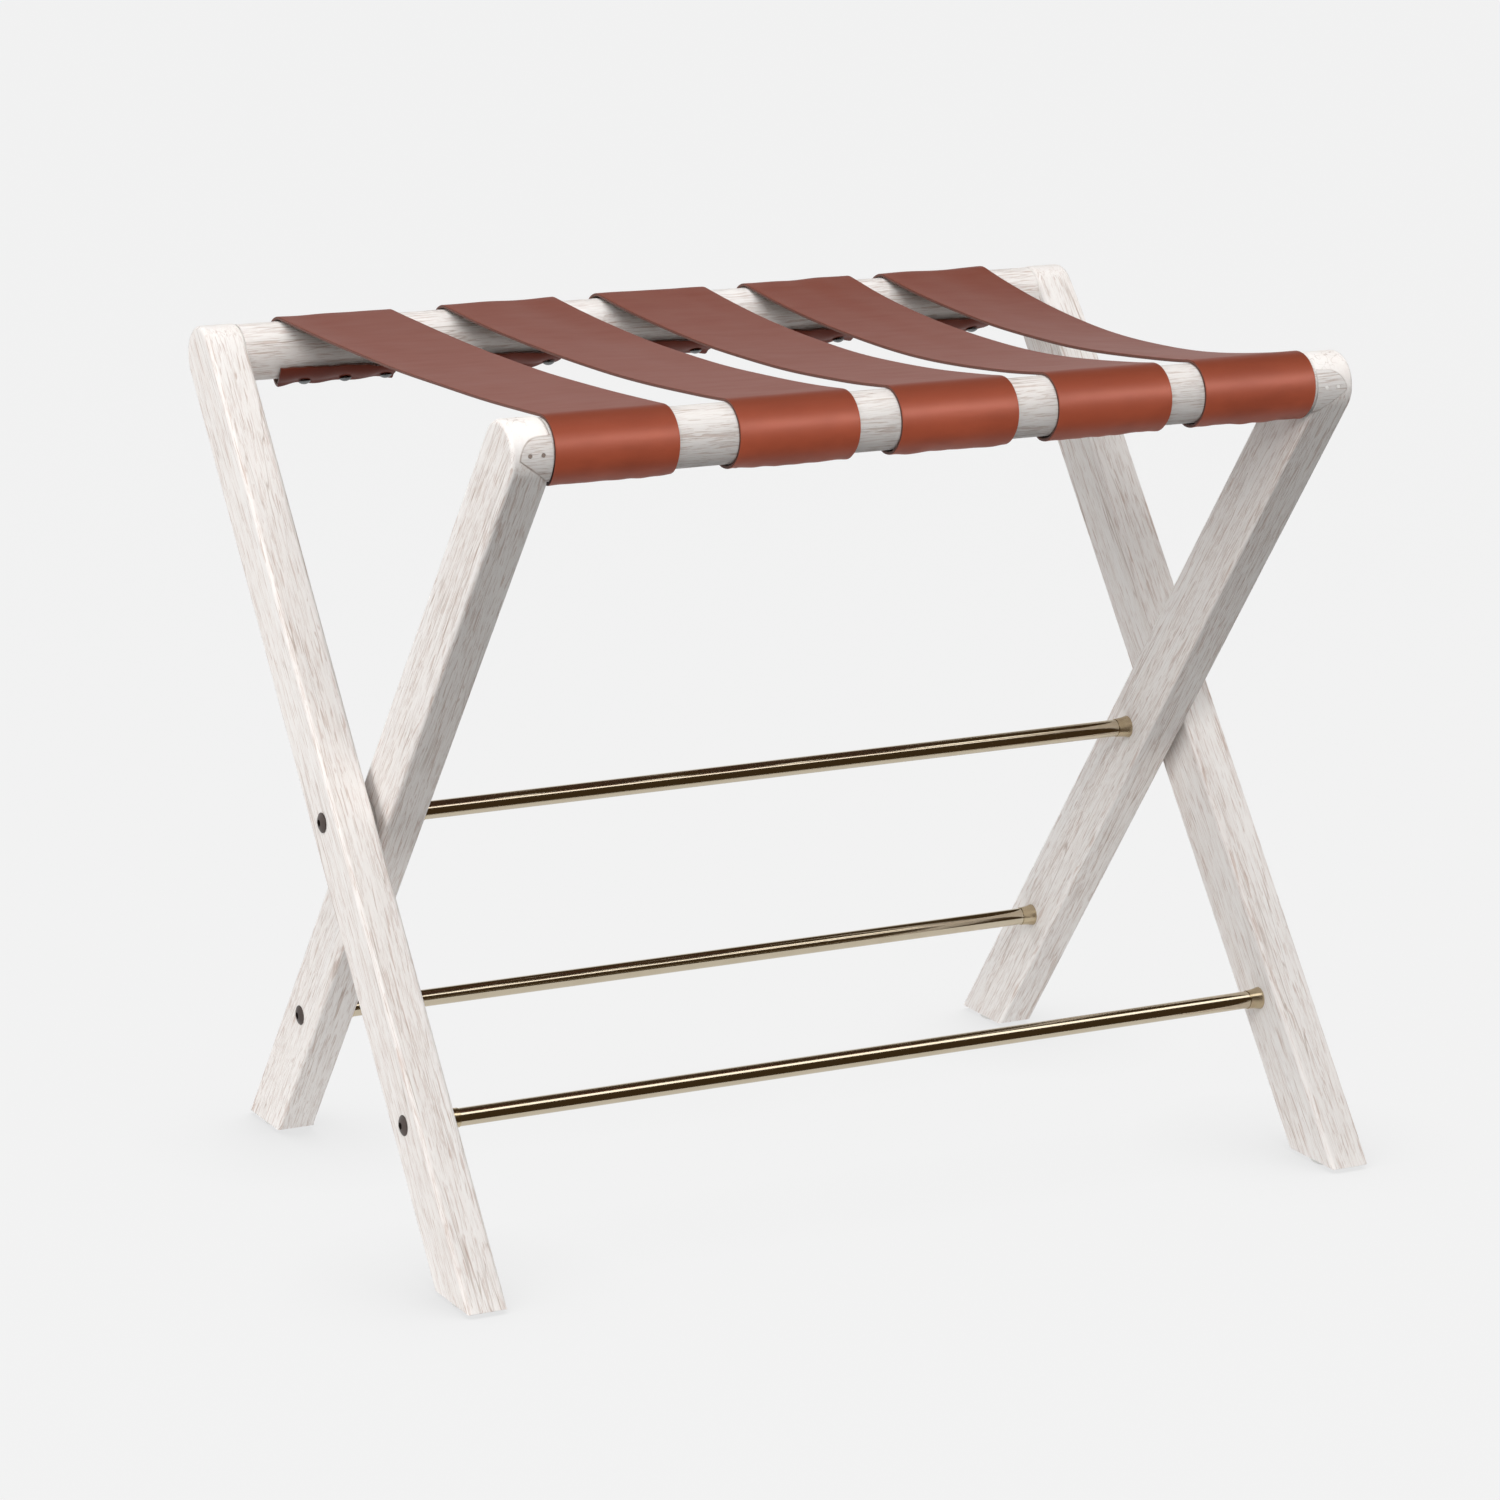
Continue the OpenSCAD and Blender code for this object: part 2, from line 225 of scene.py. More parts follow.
def leather(name, specular):
    """Smooth saddle leather, grain side out, darkened by painted shade on its upper faces and most under the
    back rail.
    """
    s = Shader(name)
    painted_shade = s.add("ShaderNodeAttribute", dict(attribute_name="painted_shade")).outputs["Fac"]
    cloud = s.ramp(s.noise(s.coord, 26.0, 3.0, 0.6), (0.35, 0.0), (0.7, 1.0))
    creases = s.streaks(s.coord, (30, 90, 90), 3.0, 0.55)
    smooth_cells = dict(feature="SMOOTH_F1")
    grain = s.add("ShaderNodeTexVoronoi", smooth_cells, Vector=s.coord, Scale=900.0, Smoothness=0.5)
    fine = s.noise(s.coord, 2100.0, 2.0)
    # painted shade: darker on the upper faces, and darker still under the back rail
    base = s.mix(painted_shade, LEATHER_UNSHADED, LEATHER_PAINTED_SHADE)
    base = s.mix(s.math("SUBTRACT", painted_shade, 1.0, True), base, LEATHER_DEEP_PAINTED_SHADE)
    base = s.mix(s.times(cloud, 0.25), base, (0.17, 0.030, 0.014))
    base = s.mix(s.times(s.ramp(creases, (0.5, 0.0), (0.75, 1.0)), 0.20), base, (0.14, 0.028, 0.014))
    height = s.math("ADD", s.times(grain.outputs["Distance"], 0.6), s.times(fine, 0.3))
    normal = s.bump(height, 0.00004, 0.5)
    normal = s.bump(creases, 0.0005, 0.2, normal)
    return s.principled(
        Base_Color=base,
        Roughness=s.straight(creases, 0.10, LEATHER_ROUGH),
        Normal=normal,
        IOR=1.5,
        Specular_IOR_Level=specular,
        Specular_Tint=(1.0, 0.5, 0.42, 1.0),
    )


def flesh_side():
    """The napped inner side of the leather."""
    s = Shader("leather_flesh_side")
    nap = s.noise(s.coord, 1400.0, 4.0, 0.7)
    cloud = s.noise(s.coord, 40.0, 3.0)
    base = s.mix(cloud, (0.10, 0.050, 0.028), (0.14, 0.072, 0.040))
    base = s.mix(s.times(nap, 0.5), base, (0.07, 0.034, 0.020))
    return s.principled(
        Base_Color=base, Roughness=0.9, Normal=s.bump(nap, 0.0003, 0.8), Sheen_Weight=0.2, Sheen_Roughness=0.5
    )


def cut_edge():
    """The burnished cut edge of the leather."""
    s = Shader("leather_cut_edge")
    layers = s.streaks(s.coord, (300, 900, 900), 3.0)
    base = s.mix(layers, (0.09, 0.031, 0.021), (0.14, 0.048, 0.031))
    return s.principled(Base_Color=base, Roughness=0.55, Normal=s.bump(layers, 0.0002, 0.5))


def metal(name, colour, dark, rough, stained=0.5, metallic=1.0, scale=FINE, bump=0.00002, uneven=0.08):
    """Metal or metallic paint, with fine wear and stains."""
    s = Shader(name)
    stain = s.noise(s.coord, 55.0, 4.0, 0.6)
    fine = s.streaks(s.coord, scale, 3.0)
    base = s.mix(s.times(s.ramp(stain, (0.45, 0.0), (0.75, 1.0)), stained), colour, dark)
    gloss = s.straight(s.math("ADD", fine, stain), uneven, rough)
    return s.principled(Base_Color=base, Metallic=metallic, Roughness=gloss, Normal=s.bump(fine, bump, 0.4))


def pin_heads():
    """Steel pin heads, bare at the left legs and limed over at the right ones."""
    s = Shader("pin_steel")
    side = s.add("ShaderNodeSeparateXYZ", Vector=s.coord).outputs[0]
    fine = s.noise(s.coord, 900.0, 3.0)
    bare = s.mix(fine, (0.32, 0.26, 0.22), (0.20, 0.155, 0.13))
    limed = s.mix(fine, WOOD_PALE, WOOD_WARM)
    base = s.mix(s.math("GREATER_THAN", side, 0.0), bare, limed)
    return s.principled(
        Base_Color=base, Roughness=0.55, Normal=s.bump(fine, 0.00002, 0.4), Specular_IOR_Level=0.3
    )


def plastic(name, colour, dark, rough):
    """Matt moulded plastic with a faint cloudiness."""
    s = Shader(name)
    fine = s.noise(s.coord, 1600.0, 3.0)
    cloud = s.noise(s.coord, 90.0, 2.0)
    base = s.mix(cloud, colour, dark)
    return s.principled(Base_Color=base, Roughness=rough, Normal=s.bump(fine, 0.00006, 0.5), IOR=1.46)


LEATHER = leather("saddle_leather", 0.7)
# a copy of the leather with little sheen, for its ends under the back rail, as painted shade
LEATHER_SHADED_COPY = leather("leather_painted_shade_copy", 0.15)
FLESH = flesh_side()
EDGE = cut_edge()
# Drawn along X, with hardly any relief
DRAWN = dict(scale=(30, 700, 700), bump=0.0000002, uneven=0.02)
BRASS = metal("polished_brass", (0.62, 0.54, 0.41), (0.54, 0.46, 0.33), 0.11, **DRAWN)
COLLAR = metal("collar_brass", (0.60, 0.50, 0.34), (0.36, 0.27, 0.15), 0.14, stained=0.7, bump=0.000004)
STEEL = metal("plain_steel", (0.50, 0.50, 0.51), (0.35, 0.34, 0.33), 0.32)
BRONZE = metal("dark_bronze", (0.13, 0.105, 0.095), (0.06, 0.05, 0.046), 0.34, stained=0.7, metallic=0.85)
TACK = metal("antique_tack", (0.22, 0.23, 0.235), (0.08, 0.08, 0.085), 0.30, stained=0.9, metallic=0.9)
PIN = pin_heads()
GLIDE = plastic("glide_plastic", (0.66, 0.66, 0.64), (0.58, 0.58, 0.56), 0.45)
SPACER = plastic("spacer_plastic", (0.30, 0.28, 0.26), (0.24, 0.22, 0.20), 0.5)

# Grain runs along each leg and along X in the rails
ALONG_OUTER = (LEAN, 0, 0)
ALONG_INNER = (-LEAN, 0, 0)
ALONG_RAIL = (0, math.radians(-90), 0)
FINISH = {
    "outer_leg_left": wood("wood_outer_left", ALONG_OUTER, (0.31, 0.13, 0.55), OUTER_FACE),
    "outer_leg_right": wood("wood_outer_right", ALONG_OUTER, (1.72, 0.41, 1.21), OUTER_FACE),
    "inner_leg_left": wood("wood_inner_left", ALONG_INNER, (2.44, 1.07, 0.17), INNER_FACE),
    "inner_leg_right": wood("wood_inner_right", ALONG_INNER, (3.18, 1.92, 2.63), INNER_FACE),
    "back_rail": wood("wood_back_rail", ALONG_RAIL, (0.77, 2.15, 3.08), OUTER_FACE),
    # the front rail is darkened a little, as painted shade
    "front_rail": wood("wood_front_rail", ALONG_RAIL, (1.36, 3.51, 0.92), INNER_FACE, painted_shade_share=0.12),
    "back_rail_pins": PIN,
    "front_rail_pins": PIN,
    "outer_foot_glides": GLIDE,
    "inner_foot_glides": GLIDE,
    "back_strap_tacks": TACK,
    "front_strap_tacks": TACK,
    "pivot_spacers": SPACER,
    "pivot_bolts": BRONZE,
    "pivot_rod": BRASS,
    "pivot_rod_collars": COLLAR,
    "pivot_rod_inserts": STEEL,
}
for side in ("outer", "inner"):
    FINISH[side + "_lower_rod"] = BRASS
    FINISH[side + "_rod_collars"] = COLLAR
    FINISH[side + "_rod_inserts"] = STEEL
    FINISH[side + "_rod_bolts"] = BRONZE


# ---------------------------------------------------------------- carried-over CAD nodes
# In mm, how near two points are to be one
WELD = 0.004
# The steepest turns, in degrees, within a flat face and across a smooth one
FLAT_TURN = 0.6
CRISP_TURN = 32
# How strongly large faces steer the shading
FACE_WEIGHT = 80


def dress(node, material, bevel, segments, angle=38):
    """Material, smooth shading and softened edges for a CAD node."""
    o = NODES[node]
    o.data.materials.clear()
    o.data.materials.append(material)
    if "custom_normal" in o.data.attributes:
        o.data.attributes.remove(o.data.attributes["custom_normal"])
    o.data.polygons.foreach_set("use_smooth", [True] * len(o.data.polygons))
    weld = o.modifiers.new("weld", "WELD")
    weld.merge_threshold = WELD * MM
    flat = o.modifiers.new("flat_faces", "DECIMATE")
    flat.decimate_type = "DISSOLVE"
    flat.angle_limit = math.radians(FLAT_TURN)
    soft = o.modifiers.new("soft_edges", "BEVEL")
    soft.width = bevel * MM
    soft.segments = segments
    soft.limit_method = "ANGLE"
    soft.angle_limit = math.radians(angle)
    soft.use_clamp_overlap = False
    soft.miter_outer = "MITER_ARC"
    crisp = o.modifiers.new("crisp_edges", "EDGE_SPLIT")
    crisp.split_angle = math.radians(CRISP_TURN)
    crisp.use_edge_sharp = False
    even = o.modifiers.new("even_shading", "WEIGHTED_NORMAL")
    even.weight = FACE_WEIGHT
    o.data.update()


# How close, in mm, a point is to a face, a corner or the ground to count as on it
ON_FACE = 0.01
ON_EDGE = 0.02
# How far the middle of a chord of the round top falls inside its rim
CHORD_DIP = 0.4
# The bevel of a leg's foot, as a share of that of its long edges
FOOT_SHARE = 0.25


def round_long_edges(node, lean):
    """Bevel only a leg's four long edges and the rim of its round top, not its bores."""
    o = NODES[node]
    mesh = o.data
    points = np.empty(len(mesh.vertices) * 3)
    mesh.vertices.foreach_get("co", points)
    points = points.reshape(-1, 3) / MM
    pairs = np.empty(len(mesh.edges) * 2, dtype=int)
    mesh.edges.foreach_get("vertices", pairs)
    pairs = pairs.reshape(-1, 2)
    x = points[:, 0] - (points[:, 0].min() + points[:, 0].max()) / 2
    half = np.abs(x).max()
    y, z = points[:, 1], points[:, 2] - PIVOT_Z
    along = y * math.sin(lean) + z * math.cos(lean)
    side = y * math.cos(lean) - z * math.sin(lean)
    reach = along.max()
    wide = np.abs(side[along < 0.8 * reach]).max()
    centre = reach - wide
    off_bar = np.where(along < centre, np.abs(side), np.hypot(side, along - centre))
    first, second = pairs[:, 0], pairs[:, 1]
    outer = (np.abs(x) > half - ON_FACE) & (off_bar > wide - ON_EDGE)
    same = (np.sign(x[first]) == np.sign(x[second])) & (side[first] * side[second] > 0)
    turning = (along[first] > centre) & (along[second] > centre) & (x[first] * x[second] > 0)
    mid_off = np.hypot((side[first] + side[second]) / 2, (along[first] + along[second]) / 2 - centre)
    turning &= mid_off > wide - CHORD_DIP
    low = z < z.min() + ON_EDGE
    foot = low[first] & low[second] & outer[first] & outer[second]
    weight = np.where(outer[first] & outer[second] & (same | turning), 1.0, 0.0)
    weight[foot] = FOOT_SHARE
    mark = mesh.attributes.new("bevel_weight_edge", "FLOAT", "EDGE")
    mark.data.foreach_set("value", weight.astype(np.float32))
    soft = o.modifiers["soft_edges"]
    soft.limit_method = "WEIGHT"


# How far each kind of piece has its edges rounded, in mm
LEG_EDGE = 3.0
TURNED_EDGE = 0.25
METAL_EDGE = 0.15
for node, material in FINISH.items():
    if "leg" in node:
        dress(node, material, LEG_EDGE, 4)
        round_long_edges(node, LEAN if "outer" in node else -LEAN)
    elif node in ("back_rail", "front_rail"):
        dress(node, material, TURNED_EDGE, 2)
    elif "glides" in node:
        dress(node, material, TURNED_EDGE, 2, 50)
    else:
        dress(node, material, METAL_EDGE, 2, 40)


# ---------------------------------------------------------------- straps
STRAP_W = 76.0
STRAP_T = 1.9
# How far a strap's cut edges are rounded
STRAP_EDGE = 0.55
# The leather's inner side, just clear of the rail
WRAP_R = RAIL_R + 0.12
# The middle of each strap in X where it goes over the front and the back rail
FRONT_X = (-209.3, -96.2, 6.4, 108.8, 207.7)
BACK_X = (-212.4, -102.2, 3.5, 108.0, 207.1)
# Sag of the left and right edges of each strap
SAG = ((4.5, 5.5), (7.0, 9.0), (10.0, 12.0), (12.5, 14.5), (12.0, 19.5))
TACK_PITCH = 27.0
# The middle tack of each strap's three in X
TACK_X = (-209.2, -98.2, 4.8, 107.8, 206.8)
# How far round under a rail its tacks are, and the strap's end is, from level with the rail's inner side
TACK_ANGLE = 72.0
END_ANGLE = 28.0
# The radius that the leather follows at its tacks, and how far from one it is drawn in
TACK_ARC_R = 20.0
TACK_REACH = 7.0
# Angles round a rail between which the leather hangs loose under it, and bulges
UNDER_RAIL = (200, 235, 285, 330)
BULGE_AT = (250, 264, 282, 312)
# How far the leather stands off its rail in general
FRONT_LOOSE = 0.08
BACK_LOOSE = 0.6
# How far each end bulges under its rail, and how finely that varies
FRONT_BULGE = (0.55, 0.11)
BACK_BULGE = (1.5, 0.055)
# How far in X each nailed end has slipped
FRONT_SLIP = (5.0, -1.2, -0.4, -0.7, -1.0)
BACK_SLIP = (-6.0, -1.5, -2.0, -1.0, -1.0)
# Points in a strap's mesh, across it, round each rail and along the span
STRAP_COLUMNS = 37
ARC_STEPS = 46
SPAN_STEPS = 40
# Rows of a strap's mesh on the inner side of the back rail, which take the copy of the leather with little
# sheen as painted shade
SHADED_COPY_ROWS = 12


def smooth(t):
    """An eased step from 0 to 1."""
    t = min(1.0, max(0.0, t))
    return t * t * (3 - 2 * t)


def hump(a, start, full, fading, end):
    """1 between the middle two values, easing to 0 at the outer two."""
    return smooth((a - start) / (full - start)) * smooth((end - a) / (end - fading))


def wobble(x, y, z, seed):
    """Smooth noise from -1 to 1, different for each seed."""
    return noise.noise(Vector((x + 13.7 * seed, y - 7.1 * seed, z + 3.3 * seed)))


def drawn_in(i, x, below):
    """How far the nearest tack draws the leather in, from 0 to 1, at an angle below the rail's inner side."""
    across = [(x - TACK_X[i] - place * TACK_PITCH) / TACK_REACH for place in (-1, 0, 1)]
    around = math.radians(below - TACK_ANGLE) * TACK_ARC_R / TACK_REACH
    return max(math.exp(-(dx * dx + around * around)) for dx in across)


def slack_at(i, end, u, x, t, a):
    """How far the leather stands off its rail at an angle, t of the way up from the strap's nailed edge."""
    draw = drawn_in(i, x, a - 180)
    under = hump(a, *UNDER_RAIL)
    slack = under * (0.4 + 0.5 * wobble(x * 0.035, a * 0.02, end, i + 2)) * (1 - draw) - 0.25 * draw * under
    loose = FRONT_LOOSE if end < 0 else BACK_LOOSE
    slack += loose * (1 + 1.6 * wobble(x * 0.04, a * 0.012, end * 3, i + 7)) * (1 - draw)
    slack += smooth(1 - t * 7) * (0.5 + 0.9 * wobble(u * 3.1, 5.5, end, i + 9))
    size, fine = FRONT_BULGE if end < 0 else BACK_BULGE
    bulge = size * hump(a, *BULGE_AT)
    slack += bulge * (1 + 1.5 * wobble(x * fine, 0.7, 2.0 * end, i + 21))
    return max(slack, -0.05)


def wrap_lines(i, end, u, leave):
    """An outer and an inner line of points round a rail, from the nailed edge up to the span."""
    x = (FRONT_X if end < 0 else BACK_X)[i] + u * STRAP_W / 2
    # the nailed edge is a little ragged and skewed
    ragged = 5.0 * u + 3.0 * wobble(u * 1.6, 0.3, end, i + 1) + 2.0 * wobble(u * 6.0, 2.3, end, i + 4)
    stop = 180 + END_ANGLE + ragged
    lines = ([], [])
    for k in range(ARC_STEPS + 1):
        t = k / ARC_STEPS
        a = stop + (450 + leave - stop) * t
        slack = slack_at(i, end, u, x, t, a)
        slip = BACK_SLIP[i] * smooth(1 - t * 2.4) if end > 0 else FRONT_SLIP[i] * smooth(1 - t * 1.8)
        for line, base in zip(lines, (WRAP_R + STRAP_T, WRAP_R)):
            y = RAIL_Y + (base + slack) * math.cos(math.radians(a))
            z = RAIL_Z + (base + slack) * math.sin(math.radians(a))
            line.append([x + slip * (1 - 0.2 * (u + 1)), end * y, z])
    return lines


def span_line(i, u, p, q, sag):
    """A sagging line of points from p on the front rail to q on the back rail, without its ends."""
    bend = sag / RAIL_Y / abs(p[1])
    line = []
    for k in range(1, SPAN_STEPS):
        t = k / SPAN_STEPS
        x = p[0] + (q[0] - p[0]) * t
        y = p[1] + (q[1] - p[1]) * t
        z = p[2] + (q[2] - p[2]) * t - bend * (p[1] * p[1] - y * y)
        z += 0.55 * smooth(t * 8) * smooth((1 - t) * 8) * wobble(u * 0.9, y * 0.012, 1.0, i + 12)
        line.append([x, y, z])
    return line


def strap_points(i):
    """Columns of points along a strap from its front end to its back end, outside and inside."""
    grids = ([], [])
    for c in range(STRAP_COLUMNS):
        u = -1 + 2 * c / (STRAP_COLUMNS - 1)
        sag = SAG[i][0] + (SAG[i][1] - SAG[i][0]) * (u + 1) / 2
        leave = math.degrees(math.atan(2 * sag / RAIL_Y))
        fronts = wrap_lines(i, -1, u, leave)
        backs = wrap_lines(i, 1, u, leave)
        for grid, front, back in zip(grids, fronts, backs):
            grid.append(front + span_line(i, u, front[-1], back[-1], sag) + back[::-1])
    return grids


# The height on a rail's outer side, as a share of its radius, below which the leather has no painted shade
UNSHADED_BELOW = -0.4
# The painted shade on the leather under the back rail, beyond that on the span
DEEPEST_PAINTED_SHADE = 1.5


def painted_shade_at(point):
    """How much painted shade the leather has: full on the span, less outside the rails, most under the back
    rail.
    """
    out = abs(point[1]) - RAIL_Y
    up = point[2] - RAIL_Z
    if out < 0 < up:
        return 1.0
    height = up / math.hypot(out, up)
    painted_shade = min(1.0, max(0.0, (height - UNSHADED_BELOW) / (1 - UNSHADED_BELOW)))
    if point[1] < 0 or up > 0:
        return painted_shade
    below = smooth(-height) if out > 0 else 1.0
    return painted_shade + (DEEPEST_PAINTED_SHADE - painted_shade) * below


def make_strap(i):
    outer, inner = strap_points(i)
    cols, rows = len(outer), len(outer[0])
    verts = [[v * MM for v in p] for side in (outer, inner) for column in side for p in column]

    def at(side, c, r):
        return (side * cols + c) * rows + r

    faces, slots = [], []
    for c in range(cols - 1):
        for r in range(rows - 1):
            faces.append((at(0, c, r), at(0, c + 1, r), at(0, c + 1, r + 1), at(0, c, r + 1)))
            # the rows under the back rail take the low-sheen copy, as painted shade
            slots.append(3 if r >= rows - SHADED_COPY_ROWS else 0)
            faces.append((at(1, c, r), at(1, c, r + 1), at(1, c + 1, r + 1), at(1, c + 1, r)))
            slots.append(1)
    for r in range(rows - 1):
        faces.append((at(0, 0, r), at(0, 0, r + 1), at(1, 0, r + 1), at(1, 0, r)))
        faces.append((at(0, cols - 1, r), at(1, cols - 1, r), at(1, cols - 1, r + 1), at(0, cols - 1, r + 1)))
        slots += [2, 2]
    for c in range(cols - 1):
        faces.append((at(0, c, 0), at(1, c, 0), at(1, c + 1, 0), at(0, c + 1, 0)))
        faces.append((at(0, c, rows - 1), at(0, c + 1, rows - 1), at(1, c + 1, rows - 1), at(1, c, rows - 1)))
        slots += [2, 2]
    mesh = bpy.data.meshes.new(f"leather_strap_{i + 1}")
    mesh.from_pydata(verts, [], faces)
    for m in (LEATHER, FLESH, EDGE, LEATHER_SHADED_COPY):
        mesh.materials.append(m)
    mesh.polygons.foreach_set("material_index", slots)
    mesh.polygons.foreach_set("use_smooth", [True] * len(faces))
    mesh.update()
    # each point's share of painted shade, darker on the upper faces and under the back rail
    painted_shade = mesh.attributes.new("painted_shade", "FLOAT", "POINT")
    painted_shade.data.foreach_set("value", [painted_shade_at(p) for side in (outer, inner) for column in side for p in column])
    o = bpy.data.objects.new(f"leather_strap_{i + 1}", mesh)
    bpy.context.scene.collection.objects.link(o)
    soft = o.modifiers.new("soft_edges", "BEVEL")
    soft.width = STRAP_EDGE * MM
    soft.segments = 2
    soft.limit_method = "ANGLE"
    soft.angle_limit = math.radians(50)
    soft.use_clamp_overlap = False
    soft.harden_normals = True
    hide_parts(f"strap_{i + 1}")
    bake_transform(o)
    return o


STRAPS = [make_strap(i) for i in range(5)]


# ---------------------------------------------------------------- floor, light and camera
def sheet_of(name, low, high, z, colour, strength):
    """A level glowing rectangle that isn't part of the rack, with its shader and its glow node."""
    corners = [(low[0], low[1], z), (high[0], low[1], z), (high[0], high[1], z), (low[0], high[1], z)]
    mesh = bpy.data.meshes.new(name)
    mesh.from_pydata(corners, [], [(0, 1, 2, 3)])
    o = bpy.data.objects.new(name, mesh)
    bpy.context.scene.collection.objects.link(o)
    s = Shader(name)
    glow = s.add("ShaderNodeEmission", Color=(*colour, 1), Strength=strength)
    s.nt.links.new(glow.outputs[0], s.out.inputs[0])
    mesh.materials.append(s.mat)
    return o, s, glow


def make_floor():
    """A pale floor for the camera, with a painted shadow round the feet, and under it glowing sheets that
    only light and mirror in the rack.
    """
    floor, s, glow = sheet_of("studio_floor", (-60, -60), (60, 60), 0.0, (0.9, 0.9, 0.9), FLOOR_GLOW)
    floor.visible_diffuse = False
    floor.visible_glossy = False
    diffuse = s.add("ShaderNodeBsdfDiffuse", Color=(0.8, 0.8, 0.8, 1))
    # painted shadow: the floor's glow dims where the rack is close
    painted_shadow_ao = s.add("ShaderNodeAmbientOcclusion", dict(samples=12), Distance=SHADE_REACH)
    s.put(glow.inputs["Strength"], s.ramp(painted_shadow_ao.outputs["AO"], (0.35, PAINTED_SHADOW_GLOW), (0.97, FLOOR_GLOW)))
    both = s.nt.nodes.new("ShaderNodeMixShader")
    both.inputs[0].default_value = GLOW_SHARE
    s.nt.links.new(diffuse.outputs[0], both.inputs[1])
    s.nt.links.new(glow.outputs[0], both.inputs[2])
    s.nt.links.new(both.outputs[0], s.out.inputs[0])
    for name, low, high, strength, glossy in (
        ("floor_glow", (-1.6, GLOW_SPLIT_Y), (1.6, 2.4), GLOW_BACK, True),
        ("floor_glow_front", (-1.6, -1.6), (1.6, GLOW_SPLIT_Y), GLOW_FRONT, False),
    ):
        card = sheet_of(name, low, high, -0.002, (1.0, 1.0, 1.0), strength)[0]
        card.visible_camera = False
        card.visible_shadow = False
        card.visible_glossy = glossy


def area_light(name, at, target, size, power, diffuse=True, glossy=True, only=None):
    """A rectangular lamp, which may light only some objects or only their gloss."""
    data = bpy.data.lights.new(name, "AREA")
    data.shape = "RECTANGLE"
    data.size, data.size_y = size
    data.energy = power
    o = bpy.data.objects.new(name, data)
    o.location = at
    o.rotation_mode = "QUATERNION"
    o.rotation_quaternion = (Vector(target) - Vector(at)).to_track_quat("-Z", "Y")
    bpy.context.scene.collection.objects.link(o)
    o.visible_diffuse = diffuse
    o.visible_glossy = glossy
    if only:
        lit = bpy.data.collections.new(name + "_on")
        for part in only:
            lit.objects.link(part)
        o.light_linking.receiver_collection = lit


def make_world(brown, pale):
    """What the rack mirrors: a dark room in front and overhead, and a pale backdrop low behind."""
    world = bpy.data.worlds.new("studio")
    bpy.context.scene.world = world
    world.cycles_visibility.diffuse = False
    world.use_nodes = True
    nt = world.node_tree
    nt.nodes.clear()
    out = nt.nodes.new("ShaderNodeOutputWorld")
    back = nt.nodes.new("ShaderNodeBackground")
    coord = nt.nodes.new("ShaderNodeTexCoord")
    parts = nt.nodes.new("ShaderNodeSeparateXYZ")
    nt.links.new(coord.outputs["Generated"], parts.inputs[0])
    both = nt.nodes.new("ShaderNodeMath")
    both.operation = "MULTIPLY"
    for k, axis, start, end in ((0, 1, 0.0, 0.3), (1, 2, 0.62, 0.30)):
        step = nt.nodes.new("ShaderNodeMapRange")
        step.interpolation_type = "SMOOTHSTEP"
        step.inputs["From Min"].default_value = start
        step.inputs["From Max"].default_value = end
        nt.links.new(parts.outputs[axis], step.inputs["Value"])
        nt.links.new(step.outputs["Result"], both.inputs[k])
    mix = nt.nodes.new("ShaderNodeMix")
    mix.data_type = "RGBA"
    nt.links.new(both.outputs[0], mix.inputs[0])
    mix.inputs[6].default_value = (*brown, 1)
    mix.inputs[7].default_value = (*pale, 1)
    nt.links.new(mix.outputs[2], back.inputs[0])
    nt.links.new(back.outputs[0], out.inputs[0])


FLOOR_GLOW = 0.990
# How much of the floor's look is its glow, and the dimmer glow close round the feet within this reach in
# metres, a painted shadow
GLOW_SHARE = 0.99
PAINTED_SHADOW_GLOW = 0.84
SHADE_REACH = 0.10
# The glow that the rack gets from below, behind and in front of this Y
GLOW_BACK = 0.80
GLOW_FRONT = 0.05
GLOW_SPLIT_Y = -0.22
# What the rack mirrors in front of it and behind it
ROOM_BROWN = (0.06, 0.038, 0.018)
BACKDROP = (0.9, 0.9, 0.9)
make_floor()
make_world(ROOM_BROWN, BACKDROP)
METAL_PARTS = [NODES[n] for n, m in FINISH.items() if m in (BRASS, COLLAR, BRONZE, TACK)]
AIM = (0, 0, 0.3)
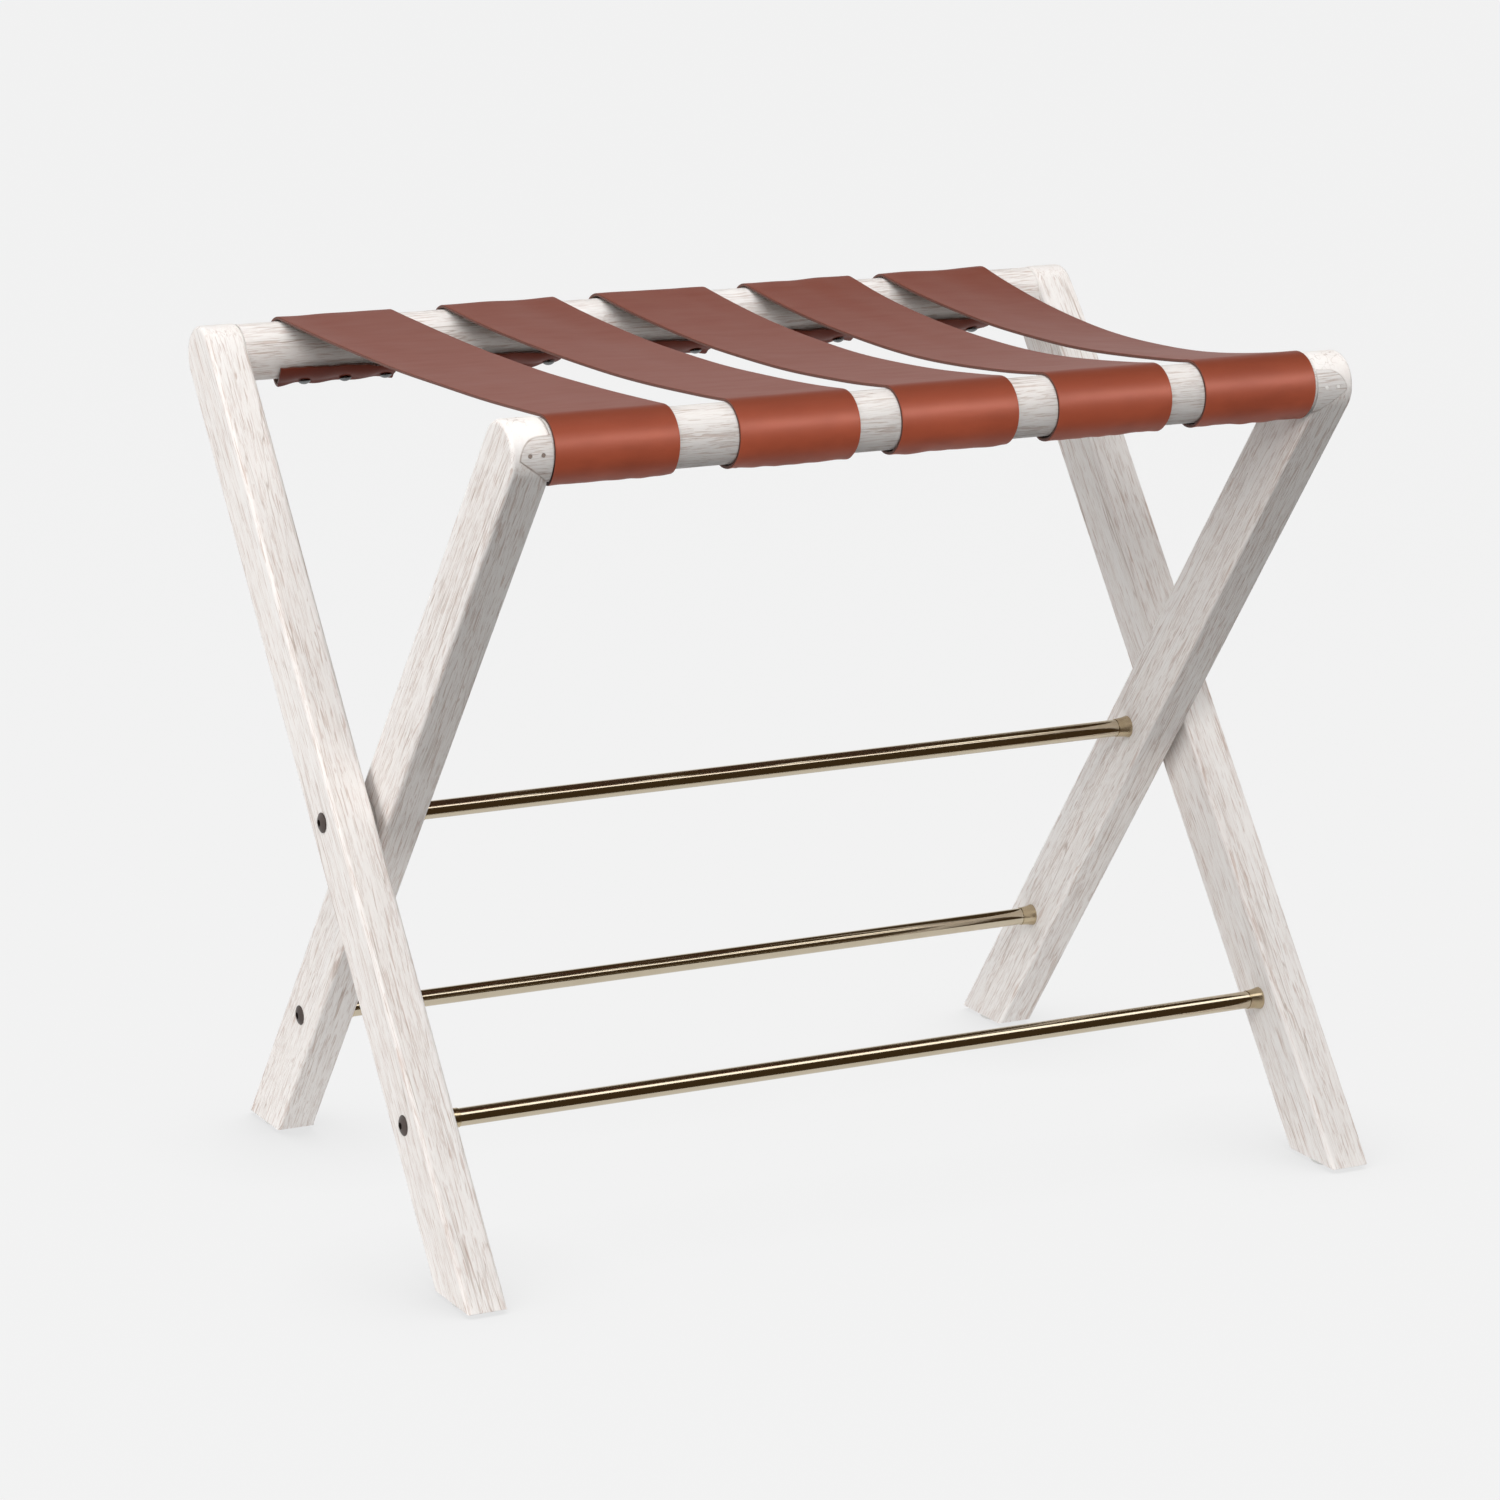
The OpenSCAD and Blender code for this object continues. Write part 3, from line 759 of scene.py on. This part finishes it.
# Where each lamp is and what it points at, its size, its power, and whether it lights diffusely and in gloss
LAMPS = {
    "key": ((-1.6, -0.95, 1.55), AIM, (0.9, 0.9), 10.5),
    "front_left": ((-1.0, -2.2, 2.0), AIM, (1.0, 1.0), 33, True, False),
    "front_fill": ((0.2, -2.5, 1.3), AIM, (1.4, 1.4), 13, True, False),
    "front_low": ((-0.3, -2.6, 0.4), AIM, (1.4, 0.6), 7, True, False),
    "overhead": ((0, 0, 2.4), AIM, (1.4, 1.4), 25, True, False),
    "left_side": ((-2.4, 0.3, 0.7), AIM, (1.2, 1.2), 30, True, False),
    "right_side": ((2.2, -0.6, 1.4), AIM, (1.0, 1.0), 16, True, False),
    "strap_line": ((1.3, -2.6, 1.72), (0, -0.15, 0.5), (3.2, 0.35), 80, False, True, STRAPS),
    "metal_line": ((0.5, -0.88, 1.30), (0.2, -0.05, 0.3), (2.4, 0.60), 8.8, False, True, METAL_PARTS),
}
for name, lamp in LAMPS.items():
    area_light(name, *lamp)

# Focal length in mm, position in metres, and angles in degrees: right of +Y, down from level, and tilted
LENS = 121.72
CAMERA_AT = (-1.39519, -2.67940, 0.99248)
CAMERA_TURN = 27.149
CAMERA_TILT = 13.751
CAMERA_ROLL = 0.248
cam_data = bpy.data.cameras.new("camera")
cam = bpy.data.objects.new("camera", cam_data)
bpy.context.scene.collection.objects.link(cam)
bpy.context.scene.camera = cam
cam_data.sensor_width = 36
cam_data.lens = LENS
cam_data.clip_start = 0.1
cam_data.clip_end = 200
turn, tilt, roll = math.radians(CAMERA_TURN), math.radians(CAMERA_TILT), math.radians(CAMERA_ROLL)
forward = Vector((math.sin(turn) * math.cos(tilt), math.cos(turn) * math.cos(tilt), -math.sin(tilt)))
right = forward.cross(Vector((0, 0, 1))).normalized()
up = right.cross(forward)
right, up = right * math.cos(roll) + up * math.sin(roll), up * math.cos(roll) - right * math.sin(roll)
facing = Matrix((right, up, -forward)).transposed().to_4x4()
cam.matrix_world = Matrix.Translation(CAMERA_AT) @ facing

view = bpy.context.scene.view_settings
view.view_transform = "Standard"
view.look = "None"
view.exposure = 0.0
